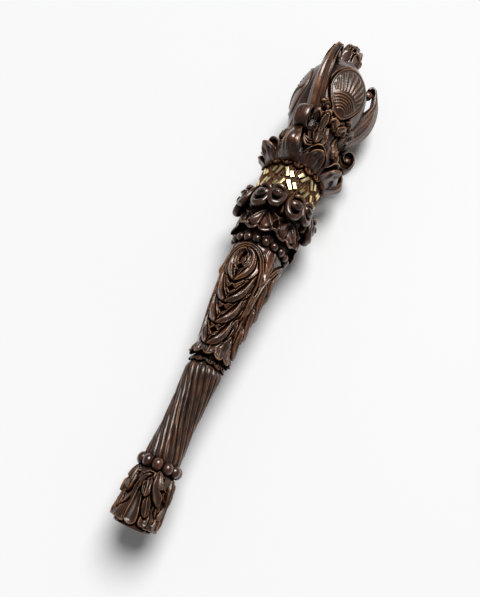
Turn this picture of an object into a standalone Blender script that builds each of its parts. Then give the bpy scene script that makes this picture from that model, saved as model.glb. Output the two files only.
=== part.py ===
"""A carved wooden ceremonial mace, 0.67 m long, lying on its side with its head towards +X.

The mace is modelled standing on its butt: its axis is local +Z, heights are distances from the butt end,
and the first of the three scroll brackets stands at angle 0. The empty "lying" then lays it down. One carved
solid is the whole mace. Two rows of brass strokes stand around its neck.
"""

import math

import bmesh
import bpy
from mathutils import Matrix, Vector

# Lengths along the axis, from the butt end, in metres.
POMMEL_TOP = 0.057
LOWER_BEADS_HEIGHT = 0.0639
GRIP_BOTTOM = 0.068
GRIP_TOP = 0.176
COLLAR_TOP = 0.198
UPPER_BEADS_HEIGHT = 0.3306
VOLUTE_HEIGHT = 0.377
NECK_BOTTOM = 0.392
STROKE_ROWS = (0.4075, 0.4240)
NECK_TOP = 0.4345
SCALES_HEIGHT = 0.4400
SHIELD_BOTTOM = 0.528
SHIELD_TOP = 0.624
FINIAL_BOTTOM = 0.627
MACE_LENGTH = 0.672

# Radii and counts of what goes around the axis.
POMMEL_LOBES = 12
LAUREL_SPRAYS = 6
LOWER_BEADS = 10
LOWER_BEADS_RADIUS = 0.0192
LOWER_BEAD_SIZE = (0.0062, 0.0059, 0.0068)
GRIP_REEDS = 16
GRIP_TWIST = math.radians(-95.0)
COLLAR_LOBES = 12
SHAFT_BOTTOM_RADIUS = 0.0210
SHAFT_TOP_RADIUS = 0.0305
UPPER_BEADS = 18
UPPER_BEADS_RADIUS = 0.0317
UPPER_BEAD_SIZE = (0.0054, 0.0056, 0.0054)
CAPITAL_LEAVES = 12
VOLUTE_PAIRS = 6
VOLUTE_SPACING = math.radians(21.0)
NECK_RADIUS = 0.0372
SCALE_LEAVES = 18
PETALS = 6
BRACKETS = 3
SHIELD_WIDTH = 0.066
FINIAL_RADIUS = 0.0175
FINIAL_KNOBS = 6

STROKE_GROUPS = 14
STROKES_PER_GROUP = 2
STROKE_LENGTH = 0.0122
STROKE_WIDTH = 0.0035
STROKE_SPACING = 0.0063
STROKE_HEIGHT = 0.0014
STROKE_GAP = 0.0005
NODE_GAP = 0.0003

# How the mace lies: turned about its axis, tipped by its pitch, and sunk so far that small flats are cut.
# The start is where the butt end's centre lies: along the mace, sideways, and above the surface under it.
LYING_ROLL = math.radians(-15.0)
LYING_PITCH = math.radians(-0.3)
AXIS_START = -0.336
AXIS_SIDE = 0.0062
AXIS_HEIGHT = 0.0541

# The share of the united solid's triangles that stays once its slivers are collapsed.
KEPT_SHARE = 0.57
PLAIN_NECK = "plain_neck"

FULL_TURN = 2.0 * math.pi
SAME_POINT = 0.00001


def clear_scene():
    for item in list(bpy.data.objects):
        bpy.data.objects.remove(item, do_unlink=True)


def new_collection(name):
    collection = bpy.data.collections.new(name)
    bpy.context.scene.collection.children.link(collection)
    return collection


def wood_material():
    material = bpy.data.materials.new("dark_carved_wood")
    material.use_nodes = True
    shader = material.node_tree.nodes["Principled BSDF"]
    shader.inputs["Base Color"].default_value = (0.045, 0.020, 0.011, 1.0)
    shader.inputs["Roughness"].default_value = 0.38
    shader.inputs["Metallic"].default_value = 0.0
    return material


def brass_material():
    material = bpy.data.materials.new("polished_brass")
    material.use_nodes = True
    shader = material.node_tree.nodes["Principled BSDF"]
    shader.inputs["Base Color"].default_value = (0.78, 0.62, 0.30, 1.0)
    shader.inputs["Roughness"].default_value = 0.25
    shader.inputs["Metallic"].default_value = 1.0
    return material


def polar(radius, angle, height):
    return Vector((radius * math.cos(angle), radius * math.sin(angle), height))


def keep(name, shape, collection):
    """Turns a bmesh into a closed, triangulated object of this name in a collection."""
    bmesh.ops.recalc_face_normals(shape, faces=shape.faces[:])
    bmesh.ops.triangulate(shape, faces=shape.faces[:])
    mesh = bpy.data.meshes.new(name)
    shape.to_mesh(mesh)
    shape.free()
    piece = bpy.data.objects.new(name, mesh)
    collection.objects.link(piece)
    return piece


def loft(name, sections, collection):
    """A closed body through rings of equal count, for shapes whose section changes along the way."""
    shape = bmesh.new()
    rings = [[shape.verts.new(point) for point in section] for section in sections]
    count = len(rings[0])
    for near, far in zip(rings, rings[1:]):
        for i in range(count):
            j = (i + 1) % count
            shape.faces.new((near[i], near[j], far[j], far[i]))
    shape.faces.new(rings[0])
    shape.faces.new(rings[-1])
    return keep(name, shape, collection)


def turned(name, profile, steps, collection):
    """A profile of (radius, height) points, listed top to bottom, screwed about the axis."""
    mesh = bpy.data.meshes.new(name)
    points = [(radius, 0.0, height) for radius, height in profile]
    edges = [(i, i + 1) for i in range(len(points) - 1)]
    mesh.from_pydata(points, edges, [])
    piece = bpy.data.objects.new(name, mesh)
    collection.objects.link(piece)
    screw = piece.modifiers.new("Screw", "SCREW")
    screw.axis = "Z"
    screw.steps = steps
    screw.render_steps = steps
    screw.use_merge_vertices = True
    screw.merge_threshold = SAME_POINT
    return piece


def bead_ring(name, count, radius, height, size, collection):
    """Separate beads around the axis; size is half of each bead's radial, round-about and axial extent."""
    for index in range(count):
        angle = FULL_TURN * index / count
        shape = bmesh.new()
        bmesh.ops.create_uvsphere(shape, u_segments=8, v_segments=5, radius=1.0)
        bmesh.ops.scale(shape, vec=size, verts=shape.verts)
        place = Matrix.Translation(polar(radius, angle, height)) @ Matrix.Rotation(angle, 4, "Z")
        bmesh.ops.transform(shape, matrix=place, verts=shape.verts)
        keep(f"{name}_{index + 1:02d}", shape, collection)


def ring_section(radius_at, height, segments):
    angles = [FULL_TURN * i / segments for i in range(segments)]
    return [polar(radius_at(angle), angle, height) for angle in angles]


def pommel(collection):
    """A dome of water leaves that ends at the butt in a scalloped edge over a flat disc."""
    stations = (
        (0.0000, 0.0240, 0.0000),
        (0.0022, 0.0242, 0.0000),
        (0.0026, 0.0243, 0.0019),
        (0.0080, 0.0244, 0.0018),
        (0.0250, 0.0251, 0.0011),
        (0.0400, 0.0249, 0.0007),
        (0.0500, 0.0224, 0.0000),
        (POMMEL_TOP, 0.0185, 0.0000),
        (0.0640, 0.0165, 0.0000),
    )
    sections = []
    for height, radius, lobe in stations:
        def radius_at(angle, radius=radius, lobe=lobe):
            return radius + lobe * abs(math.cos(0.5 * POMMEL_LOBES * angle))

        sections.append(ring_section(radius_at, height, 3 * POMMEL_LOBES))
    loft("pommel_dome", sections, collection)


def laurel_sprays(collection):
    """Small pointed leaves that lie over the joints between the pommel's water leaves."""
    width = 0.0080
    rim_radius = 0.0240
    ridge_radius = 0.0278
    base_spread = math.radians(8.0)
    tip_spread = math.radians(17.0)
    for spray in range(LAUREL_SPRAYS):
        middle = FULL_TURN * (spray + 0.5) / LAUREL_SPRAYS
        for side, base_height, tip_height in ((-1, 0.046, 0.024), (1, 0.046, 0.024), (0, 0.034, 0.010)):
            base = (base_height, middle + side * base_spread)
            tip = (tip_height, middle + side * tip_spread)
            name = f"laurel_{spray + 1}_{side + 2}"
            leaf_pad(name, base, tip, width, rim_radius, ridge_radius, collection)


def leaf_pad(name, base, tip, width, low, high, collection):
    """A pointed leaf lying on a round surface, ridged along its middle; base and tip are (height, angle)."""
    middle_radius = 0.5 * (low + high)
    across = Vector((base[1] - tip[1], (tip[0] - base[0]) / middle_radius)).normalized()
    sides = 0.5 * width
    shape = bmesh.new()

    def point(share, offset, radius):
        height = base[0] + (tip[0] - base[0]) * share - across[0] * offset
        angle = base[1] + (tip[1] - base[1]) * share + across[1] * offset / middle_radius
        return shape.verts.new(polar(radius, angle, height))

    stops = ((0.10, 0.45), (0.45, 1.0), (0.80, 0.62))
    left = [point(share, -sides * wide, low) for share, wide in stops]
    right = [point(share, sides * wide, low) for share, wide in stops]
    ridge = [point(share, 0.0, high) for share in (0.14, 0.45, 0.86)]
    start = point(0.0, 0.0, low)
    end = point(1.0, 0.0, low)
    outline = [start] + right + [end] + left[::-1]
    shape.faces.new(outline)
    for rim in (left, right):
        shape.faces.new((start, rim[0], ridge[0]))
        shape.faces.new((rim[0], rim[1], ridge[1], ridge[0]))
        shape.faces.new((rim[1], rim[2], ridge[2], ridge[1]))
        shape.faces.new((rim[2], end, ridge[2]))
    return keep(name, shape, collection)


def grip(collection):
    """A waisted grip of reeds that wind left-handed from the pommel's beads to the collar."""
    stations = (
        (GRIP_BOTTOM - 0.004, 0.0190),
        (0.0760, 0.0192),
        (0.0920, 0.0182),
        (0.1150, 0.0176),
        (0.1380, 0.0181),
        (0.1580, 0.0196),
        (0.1680, 0.0206),
        (0.1730, 0.0198),
        (GRIP_TOP + 0.002, 0.0168),
    )
    reed_depth = 0.0013
    segments = 2 * GRIP_REEDS
    sections = []
    for height, radius in stations:
        turn = GRIP_TWIST * (height - GRIP_BOTTOM) / (GRIP_TOP - GRIP_BOTTOM)
        section = []
        for i in range(segments):
            reach = radius - reed_depth * (i % 2)
            section.append(polar(reach, turn + FULL_TURN * i / segments, height))
        sections.append(section)
    loft("grip_reeds", sections, collection)


def collar(collection):
    """Two frills of scalloped lobes that flare towards the butt, with a deep hollow between them."""
    stations = (
        (0.1735, 0.0180, 0.0000),
        (0.1755, 0.0198, 0.0014),
        (0.1790, 0.0198, 0.0010),
        (0.1812, 0.0192, 0.0000),
        (0.1822, 0.0243, 0.0022),
        (0.1860, 0.0243, 0.0020),
        (0.1930, 0.0228, 0.0008),
        (COLLAR_TOP + 0.002, 0.0205, 0.0000),
    )
    sections = []
    for height, radius, lobe in stations:
        def radius_at(angle, radius=radius, lobe=lobe):
            return radius + lobe * abs(math.cos(0.5 * COLLAR_LOBES * angle))

        sections.append(ring_section(radius_at, height, 3 * COLLAR_LOBES))
    loft("collar_frills", sections, collection)


def turned_core(collection):
    """The plain turned body under all the carving from the collar to the finial."""
    profile = (
        (0.0, 0.6300),
        (0.0130, 0.6300),
        (0.0170, 0.6180),
        (0.0240, 0.5950),
        (0.0330, 0.5600),
        (0.0375, 0.5320),
        (0.0360, 0.5150),
        (0.0335, 0.4980),
        (0.0380, 0.4750),
        (0.0380, 0.4370),
        (NECK_RADIUS, NECK_TOP),
        (NECK_RADIUS, NECK_BOTTOM),
        (0.0440, 0.3895),
        (0.0440, 0.3760),
        (0.0365, 0.3640),
        (0.0370, 0.3500),
        (0.0350, 0.3400),
        (0.0315, 0.3370),
        (0.0305, UPPER_BEADS_HEIGHT),
        (SHAFT_TOP_RADIUS, 0.3100),
        (0.0286, 0.2800),
        (0.0243, 0.2350),
        (SHAFT_BOTTOM_RADIUS, 0.2020),
        (0.0195, 0.1900),
        (0.0, 0.1900),
    )
    mace = turned("carved_mace", profile, 36, collection)
    neck = mace.vertex_groups.new(name=PLAIN_NECK)
    ends = [index for index, point in enumerate(profile) if point[0] == NECK_RADIUS]
    neck.add(ends, 1.0, "REPLACE")
    return mace


def shaft_radius(height):
    share = (height - COLLAR_TOP) / (0.3100 - COLLAR_TOP)
    return SHAFT_BOTTOM_RADIUS + (SHAFT_TOP_RADIUS - SHAFT_BOTTOM_RADIUS) * min(share, 1.0)


def shaft_leaves(collection):
    """Tiers of long leaves in each of the three panels, their tips meeting on the panel's middle line."""
    tiers = 5
    pitch = 0.0215
    lowest_tip = 0.2015
    length = 0.0260
    width = 0.0125
    base_offset = 0.0165
    tip_offset = 0.0012
    sunk = 0.0010
    relief = 0.0022
    for panel in range(BRACKETS):
        middle = FULL_TURN * panel / BRACKETS
        for tier in range(tiers):
            tip_height = lowest_tip + pitch * tier
            radius = shaft_radius(tip_height + 0.4 * length)
            for side in (-1, 1):
                base = (tip_height + length, middle + side * base_offset / radius)
                tip = (tip_height, middle + side * tip_offset / radius)
                name = f"shaft_leaf_{panel + 1}_{tier + 1}_{side + 2}"
                leaf_pad(name, base, tip, width, radius - sunk, radius + relief, collection)


def panel_arches(collection):
    """A round-headed border over each panel: a bent rod half sunk in the shaft."""
    half_angle = math.radians(53.0)
    foot_height = 0.2300
    spring_height = 0.2880
    rise = 0.0300
    rod_radius = 0.0017
    steps = 8
    for panel in range(BRACKETS):
        middle = FULL_TURN * panel / BRACKETS
        points = [polar(shaft_radius(foot_height), middle - half_angle, foot_height)]
        for step in range(steps + 1):
            sweep = math.pi * step / steps
            height = spring_height + rise * math.sin(sweep)
            angle = middle - half_angle * math.cos(sweep)
            points.append(polar(shaft_radius(height), angle, height))
        points.append(polar(shaft_radius(foot_height), middle + half_angle, foot_height))
        rod(f"panel_arch_{panel + 1}", points, rod_radius, collection)


def rod(name, points, radius, collection):
    """A bent rod with closed ends through the points, as a mesh."""
    curve = bpy.data.curves.new(name, "CURVE")
    curve.dimensions = "3D"
    curve.bevel_depth = radius
    curve.bevel_resolution = 0
    curve.use_fill_caps = True
    spline = curve.splines.new("POLY")
    spline.points.add(len(points) - 1)
    for target, point in zip(spline.points, points):
        target.co = (*point, 1.0)
    guide = bpy.data.objects.new(name + "_path", curve)
    collection.objects.link(guide)
    bpy.context.view_layer.update()
    solid = guide.evaluated_get(bpy.context.evaluated_depsgraph_get())
    shape = bmesh.new()
    shape.from_mesh(bpy.data.meshes.new_from_object(solid))
    bpy.data.objects.remove(guide, do_unlink=True)
    bmesh.ops.remove_doubles(shape, verts=shape.verts, dist=SAME_POINT)
    return keep(name, shape, collection)


def blade(name, angle, stations, collection):
    """A curled leaf standing off the axis at an angle.

    Each station is (radius, height, half width, thickness, droop): the leaf's middle line, how wide and thick
    it is there, and how far its two edges fall back behind the middle.
    """
    sections = []
    last = len(stations) - 1
    outward = Vector((math.cos(angle), math.sin(angle), 0.0))
    sideways = Vector((-math.sin(angle), math.cos(angle), 0.0))
    for index, (radius, height, half_width, thickness, droop) in enumerate(stations):
        before = stations[max(index - 1, 0)]
        after = stations[min(index + 1, last)]
        run = Vector((after[0] - before[0], after[1] - before[1])).normalized()
        normal = outward * run[1] + Vector((0.0, 0.0, -run[0]))
        centre = outward * radius + Vector((0.0, 0.0, height))
        section = []
        for across in (-1.0, -0.5, 0.0, 0.5, 1.0):
            fall = droop * across * across
            section.append(centre + sideways * half_width * across - normal * fall)
        for across in (0.7, 0.0, -0.7):
            fall = droop * across * across + thickness
            section.append(centre + sideways * half_width * across - normal * fall)
        sections.append(section)
    return loft(name, sections, collection)


def capital_leaves(collection):
    """The capital's lower row: broad leaves with turned-out lips, and narrow pointed ones between them."""
    broad = (
        (0.0370, 0.3680, 0.0080, 0.0080, 0.0010),
        (0.0395, 0.3560, 0.0110, 0.0070, 0.0016),
        (0.0395, 0.3480, 0.0125, 0.0060, 0.0022),
        (0.0405, 0.3430, 0.0110, 0.0045, 0.0018),
    )
    narrow = (
        (0.0390, 0.3720, 0.0060, 0.0080, 0.0014),
        (0.0415, 0.3620, 0.0075, 0.0075, 0.0018),
        (0.0410, 0.3530, 0.0065, 0.0060, 0.0016),
        (0.0385, 0.3450, 0.0015, 0.0040, 0.0004),
    )
    for index in range(CAPITAL_LEAVES):
        angle = FULL_TURN * index / CAPITAL_LEAVES
        stations = broad if index % 2 == 0 else narrow
        blade(f"capital_leaf_{index + 1:02d}", angle, stations[::-1], collection)


def capital_volutes(collection):
    """Pairs of leaf tips rolled into volutes under the neck."""
    radius = 0.0430
    size = (0.0098, 0.0100, 0.0125)
    lean = Matrix.Rotation(math.radians(28.0), 4, "Y")
    for pair in range(VOLUTE_PAIRS):
        middle = FULL_TURN * pair / VOLUTE_PAIRS
        for side in (-0.5, 0.5):
            angle = middle + side * VOLUTE_SPACING
            shape = bmesh.new()
            bmesh.ops.create_uvsphere(shape, u_segments=8, v_segments=5, radius=1.0)
            bmesh.ops.scale(shape, vec=size, verts=shape.verts)
            place = Matrix.Translation(polar(radius, angle, VOLUTE_HEIGHT)) @ Matrix.Rotation(angle, 4, "Z")
            bmesh.ops.transform(shape, matrix=place @ lean, verts=shape.verts)
            keep(f"capital_volute_{pair + 1}_{'left' if side < 0 else 'right'}", shape, collection)


def neck_scales(collection):
    """A ring of small pointed leaves that hang over the neck's top."""
    width = 0.0125
    rim_radius = 0.0365
    ridge_radius = 0.0412
    for index in range(SCALE_LEAVES):
        angle = FULL_TURN * (index + 0.5) / SCALE_LEAVES
        base = (SCALES_HEIGHT + 0.0060, angle)
        tip = (SCALES_HEIGHT - 0.0050, angle)
        leaf_pad(f"neck_scale_{index + 1:02d}", base, tip, width, rim_radius, ridge_radius, collection)


def petals(collection):
    """Six tulip-like leaf curls: three stand under the brackets and reach out further than those between."""
    bracket_reach = 0.0065
    for index in range(PETALS):
        angle = FULL_TURN * index / PETALS
        reach = bracket_reach if index % 2 == 0 else 0.0
        stations = (
            (0.0375, 0.4420, 0.0090, 0.0060, 0.0020),
            (0.0455 + 0.5 * reach, 0.4450, 0.0150, 0.0100, 0.0055),
            (0.0520 + reach, 0.4550, 0.0190, 0.0130, 0.0085),
            (0.0535 + reach, 0.4670, 0.0190, 0.0130, 0.0085),
            (0.0495 + reach, 0.4770, 0.0150, 0.0100, 0.0060),
            (0.0450 + 0.5 * reach, 0.4820, 0.0095, 0.0060, 0.0030),
        )
        blade(f"petal_{index + 1}", angle, stations, collection)


def brackets(collection):
    """Three S-scrolls: a roll at the top, a swelling band, and a volute at the bottom.

    Each point of the spine is (radius, height, depth, half width) of the band there.
    """
    edge_crown = 0.62
    roll_place = (0.0488, 0.6105)
    roll_radius = 0.0061
    roll_length = 0.0170
    spine = (
        (0.0425, 0.6090, 0.0050, 0.0054),
        (0.0425, 0.6170, 0.0050, 0.0054),
        (0.0460, 0.6235, 0.0052, 0.0055),
        (0.0512, 0.6200, 0.0054, 0.0057),
        (0.0552, 0.6110, 0.0062, 0.0060),
        (0.0600, 0.5970, 0.0090, 0.0068),
        (0.0612, 0.5800, 0.0130, 0.0080),
        (0.0578, 0.5625, 0.0180, 0.0090),
        (0.0515, 0.5460, 0.0200, 0.0095),
        (0.0450, 0.5310, 0.0180, 0.0098),
        (0.0405, 0.5160, 0.0120, 0.0101),
        (0.0375, 0.5030, 0.0085, 0.0104),
        (0.0385, 0.4920, 0.0070, 0.0104),
        (0.0450, 0.4855, 0.0070, 0.0104),
        (0.0535, 0.4850, 0.0070, 0.0104),
        (0.0595, 0.4915, 0.0070, 0.0103),
        (0.0605, 0.5005, 0.0066, 0.0100),
        (0.0570, 0.5090, 0.0062, 0.0095),
        (0.0510, 0.5115, 0.0058, 0.0090),
        (0.0470, 0.5060, 0.0055, 0.0088),
    )
    last = len(spine) - 1
    for index in range(BRACKETS):
        angle = FULL_TURN * index / BRACKETS
        outward = Vector((math.cos(angle), math.sin(angle), 0.0))
        sideways = Vector((-math.sin(angle), math.cos(angle), 0.0))
        sections = []
        for stop, (radius, height, depth, half_width) in enumerate(spine):
            before = spine[max(stop - 1, 0)]
            after = spine[min(stop + 1, last)]
            run = Vector((after[0] - before[0], after[1] - before[1])).normalized()
            normal = outward * -run[1] + Vector((0.0, 0.0, run[0]))
            centre = outward * radius + Vector((0.0, 0.0, height))
            crown = 0.5 * depth
            section = [
                centre + normal * crown,
                centre + normal * edge_crown * crown + sideways * half_width,
                centre - normal * crown + sideways * half_width,
                centre - normal * crown - sideways * half_width,
                centre + normal * edge_crown * crown - sideways * half_width,
            ]
            sections.append(section)
        loft(f"bracket_{index + 1}_band", sections, collection)
        shape = bmesh.new()
        bmesh.ops.create_cone(
            shape, segments=10, cap_ends=True, radius1=roll_radius, radius2=roll_radius, depth=roll_length
        )
        across = Matrix.Rotation(0.5 * math.pi, 4, "X")
        spot = polar(roll_place[0], angle, roll_place[1])
        place = Matrix.Translation(spot) @ Matrix.Rotation(angle, 4, "Z")
        bmesh.ops.transform(shape, matrix=place @ across, verts=shape.verts)
        keep(f"bracket_{index + 1}_roll", shape, collection)


def shields(collection):
    """Three domed oval shields with a thin raised rim, leaning in towards the top.

    Each ring is (share of the shield's half size, lift off its plane); the sides fall back by side_bend, and
    the shield narrows upwards by top_taper.
    """
    segments = 16
    side_bend = 0.0060
    top_taper = 0.12
    bottom = Vector((0.0425, SHIELD_BOTTOM))
    top = Vector((0.0215, SHIELD_TOP))
    rise = top - bottom
    centre = 0.5 * (bottom + top)
    outward_normal = Vector((rise[1], -rise[0])).normalized()
    rings = ((1.00, -0.0120), (1.00, 0.0020), (0.93, 0.0022), (0.90, 0.0004), (0.66, 0.0102), (0.30, 0.0148))
    for index in range(BRACKETS):
        angle = FULL_TURN * (index + 0.5) / BRACKETS
        outward = Vector((math.cos(angle), math.sin(angle), 0.0))
        sideways = Vector((-math.sin(angle), math.cos(angle), 0.0))
        sections = []
        for share, lift in rings:
            section = []
            for step in range(segments):
                sweep = FULL_TURN * step / segments
                along = 0.5 * share * math.sin(sweep)
                across = 0.5 * SHIELD_WIDTH * share * math.cos(sweep) * (1.0 - top_taper * math.sin(sweep))
                bend = side_bend * math.cos(sweep) * math.cos(sweep) * share * share
                radius = centre[0] + rise[0] * along + outward_normal[0] * (lift - bend)
                height = centre[1] + rise[1] * along + outward_normal[1] * (lift - bend)
                section.append(outward * radius + sideways * across + Vector((0.0, 0.0, height)))
            sections.append(section)
        loft(f"shield_{index + 1}", sections, collection)


def shield_sprays(collection):
    """Two curled leaves and a drop leaf under each shield."""
    curl_spread = math.radians(17.0)
    for index in range(BRACKETS):
        middle = FULL_TURN * (index + 0.5) / BRACKETS
        drop = (
            (0.0370, 0.4860, 0.0020, 0.0060, 0.0004),
            (0.0410, 0.4930, 0.0065, 0.0080, 0.0020),
            (0.0415, 0.5030, 0.0060, 0.0080, 0.0020),
            (0.0390, 0.5120, 0.0025, 0.0060, 0.0004),
        )
        blade(f"spray_drop_{index + 1}", middle, drop, collection)
        curl = (
            (0.0365, 0.4990, 0.0030, 0.0060, 0.0006),
            (0.0420, 0.5060, 0.0070, 0.0080, 0.0020),
            (0.0445, 0.5170, 0.0080, 0.0080, 0.0024),
            (0.0420, 0.5300, 0.0050, 0.0060, 0.0008),
        )
        for side in (-1, 1):
            blade(f"spray_curl_{index + 1}_{side + 2}", middle + side * curl_spread, curl, collection)


def finial(collection):
    """A small coronet: a plain band, a stepped block and a ring of knobs."""
    knob_place = (0.0145, 0.6490)
    knob_size = (0.0042, 0.0046, 0.0060)
    stations = (
        (FINIAL_BOTTOM - 0.002, 0.0120),
        (FINIAL_BOTTOM, FINIAL_RADIUS - 0.0010),
        (0.6370, FINIAL_RADIUS),
        (0.6385, 0.0150),
        (0.6520, 0.0160),
        (0.6600, 0.0145),
        (0.6680, 0.0115),
        (MACE_LENGTH, 0.0070),
    )
    sections = [ring_section(lambda angle, r=radius: r, height, 12) for height, radius in stations]
    loft("coronet_block", sections, collection)
    for index in range(FINIAL_KNOBS):
        angle = FULL_TURN * (index + 0.5) / FINIAL_KNOBS
        shape = bmesh.new()
        bmesh.ops.create_uvsphere(shape, u_segments=6, v_segments=4, radius=1.0)
        bmesh.ops.scale(shape, vec=knob_size, verts=shape.verts)
        spot = polar(knob_place[0], angle, knob_place[1])
        place = Matrix.Translation(spot) @ Matrix.Rotation(angle, 4, "Z")
        bmesh.ops.transform(shape, matrix=place, verts=shape.verts)
        keep(f"coronet_knob_{index + 1}", shape, collection)


def brass_stroke(name, row_height, angle, lean, length, taper, collection):
    """One plain stroke on the neck: a bar leaning off the axis whose width tapers along it."""
    low = NECK_RADIUS + STROKE_GAP
    high = low + STROKE_HEIGHT
    half_length = 0.5 * length
    foot = 0.5 * STROKE_WIDTH * (1.0 + taper)
    tip = 0.5 * STROKE_WIDTH * (1.0 - taper)
    corners = ((-half_length, foot), (half_length, tip), (half_length, -tip), (-half_length, -foot))
    sections = []
    for radius in (low, high):
        section = []
        for along, across in corners:
            height = row_height + along * math.cos(lean) - across * math.sin(lean)
            turn = angle + (along * math.sin(lean) + across * math.cos(lean)) / NECK_RADIUS
            section.append(polar(radius, turn, height))
        sections.append(section)
    return loft(name, sections, collection)


def brass_strokes(collection, finish):
    """Two rows of slanting strokes in pairs, a long one beside a short one: a pattern, not an inscription."""
    leans = (26.0, -32.0, 22.0, -24.0, 34.0, -28.0, 30.0)
    tapers = (0.0, 0.20, -0.15, 0.0)
    short_share = 0.62
    short_offset = 0.0016
    for row, row_height in enumerate(STROKE_ROWS):
        for group in range(STROKE_GROUPS):
            lean = math.radians(leans[(group + 3 * row) % len(leans)])
            middle = FULL_TURN * (group + 0.5 * row) / STROKE_GROUPS
            for place in range(STROKES_PER_GROUP):
                number = group * STROKES_PER_GROUP + place
                side = place - 0.5
                angle = middle + side * STROKE_SPACING / NECK_RADIUS
                is_short = place == (group + row) % STROKES_PER_GROUP
                length = STROKE_LENGTH * (short_share if is_short else 1.0)
                height = row_height + (short_offset * (1 if group % 3 else -1) if is_short else 0.0)
                stroke = brass_stroke(
                    f"brass_stroke_{row + 1}_{number + 1:02d}",
                    height, angle, lean, length, tapers[number % len(tapers)], collection
                )
                stroke.data.materials.append(finish)


def join_carving(mace, carving):
    """Unites the carved details with the turned core into one solid."""
    union = mace.modifiers.new("Carving", "BOOLEAN")
    union.operation = "UNION"
    union.solver = "EXACT"
    union.operand_type = "COLLECTION"
    union.collection = carving


def lighten(mace):
    """Collapses the slivers and short edges that the union leaves along the joints between the carvings."""
    collapse = mace.modifiers.new("Slivers", "DECIMATE")
    collapse.decimate_type = "COLLAPSE"
    collapse.ratio = KEPT_SHARE
    collapse.use_collapse_triangulate = True
    collapse.vertex_group = PLAIN_NECK
    collapse.invert_vertex_group = True


def cut_flats(mace, cutters):
    """Takes off what would lie under the surface that the mace rests on, which leaves small flats."""
    size = (1.0, 0.4, 0.05)
    shape = bmesh.new()
    bmesh.ops.create_cube(shape, size=1.0)
    bmesh.ops.scale(shape, vec=size, verts=shape.verts)
    bmesh.ops.translate(shape, vec=(0.0, 0.0, -0.5 * size[2]), verts=shape.verts)
    floor_cutter = keep("floor_cutter", shape, cutters)
    cut = mace.modifiers.new("Resting flats", "BOOLEAN")
    cut.operation = "DIFFERENCE"
    cut.solver = "EXACT"
    cut.object = floor_cutter


def hide_helpers(collection):
    for item in collection.objects:
        item.hide_render = True
        item.display_type = "WIRE"


def main():
    clear_scene()
    parts = new_collection("ceremonial_mace")
    carving = new_collection("carving")
    cutters = new_collection("cutters")

    lying = bpy.data.objects.new("lying", None)
    parts.objects.link(lying)
    stand_along_x = Matrix(((0.0, 0.0, 1.0), (0.0, -1.0, 0.0), (1.0, 0.0, 0.0))).to_4x4()
    roll = Matrix.Rotation(LYING_ROLL, 4, "Z")
    pitch = Matrix.Rotation(-LYING_PITCH, 4, "Y")
    start = Matrix.Translation((AXIS_START, AXIS_SIDE, AXIS_HEIGHT))
    lying.matrix_world = start @ pitch @ stand_along_x @ roll

    mace = turned_core(parts)
    pommel(carving)
    laurel_sprays(carving)
    bead_ring("lower_bead", LOWER_BEADS, LOWER_BEADS_RADIUS, LOWER_BEADS_HEIGHT, LOWER_BEAD_SIZE, carving)
    grip(carving)
    collar(carving)
    shaft_leaves(carving)
    panel_arches(carving)
    bead_ring("upper_bead", UPPER_BEADS, UPPER_BEADS_RADIUS, UPPER_BEADS_HEIGHT, UPPER_BEAD_SIZE, carving)
    capital_leaves(carving)
    capital_volutes(carving)
    neck_scales(carving)
    petals(carving)
    brackets(carving)
    shields(carving)
    shield_sprays(carving)
    finial(carving)
    brass_strokes(parts, brass_material())

    mace.data.materials.append(wood_material())
    for item in list(carving.objects) + [piece for piece in parts.objects if piece != lying]:
        item.parent = lying
    join_carving(mace, carving)
    lighten(mace)
    cut_flats(mace, cutters)
    hide_helpers(carving)
    hide_helpers(cutters)


main()
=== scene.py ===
"""The looks of a carved wooden ceremonial mace that lies on a pale floor.

Shapes are worked out in mace coordinates, in millimetres: a point is an angle about the mace's axis in
degrees, a radius, and a height above the butt end. placed() lays them down in the row frame, in metres.
"""

import math

import bpy
import numpy as np
from mathutils import Matrix, Vector


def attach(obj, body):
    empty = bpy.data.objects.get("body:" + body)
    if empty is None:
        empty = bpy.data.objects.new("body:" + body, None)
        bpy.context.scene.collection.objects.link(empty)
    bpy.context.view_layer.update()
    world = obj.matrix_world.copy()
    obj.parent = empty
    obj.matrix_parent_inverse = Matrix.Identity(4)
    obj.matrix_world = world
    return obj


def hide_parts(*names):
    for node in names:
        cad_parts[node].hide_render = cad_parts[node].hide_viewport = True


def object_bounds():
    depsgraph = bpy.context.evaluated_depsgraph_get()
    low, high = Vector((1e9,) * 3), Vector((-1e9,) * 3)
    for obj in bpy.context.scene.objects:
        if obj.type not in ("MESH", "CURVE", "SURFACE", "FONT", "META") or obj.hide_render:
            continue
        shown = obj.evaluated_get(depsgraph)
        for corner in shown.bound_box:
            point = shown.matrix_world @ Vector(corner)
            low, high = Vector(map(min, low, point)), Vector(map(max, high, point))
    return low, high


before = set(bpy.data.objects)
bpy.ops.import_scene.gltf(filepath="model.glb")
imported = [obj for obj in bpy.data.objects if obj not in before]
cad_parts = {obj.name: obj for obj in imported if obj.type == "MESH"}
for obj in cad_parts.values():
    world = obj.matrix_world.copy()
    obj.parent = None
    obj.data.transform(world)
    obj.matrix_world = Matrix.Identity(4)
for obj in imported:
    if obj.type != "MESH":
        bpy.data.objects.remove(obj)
cad_low, cad_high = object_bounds()
scene = bpy.context.scene

# How the mace lies: turned about its axis, tipped, and where its butt end's centre is, in millimetres.
LYING_ROLL = math.radians(-15.0)
LYING_PITCH = math.radians(-0.3)
AXIS_START = -336.0
AXIS_SIDE = 6.2
AXIS_HEIGHT = 54.1

WOOD_NODE = "carved_mace"
UP = np.array([0.0, 0.0, 1.0])

# How far the wood keeps inside the CAD model's box, in metres.
BOX_MARGIN = 0.00002


# ---- small tools


def smoothstep(x):
    x = np.clip(x, 0.0, 1.0)
    return x * x * (3.0 - 2.0 * x)


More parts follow.
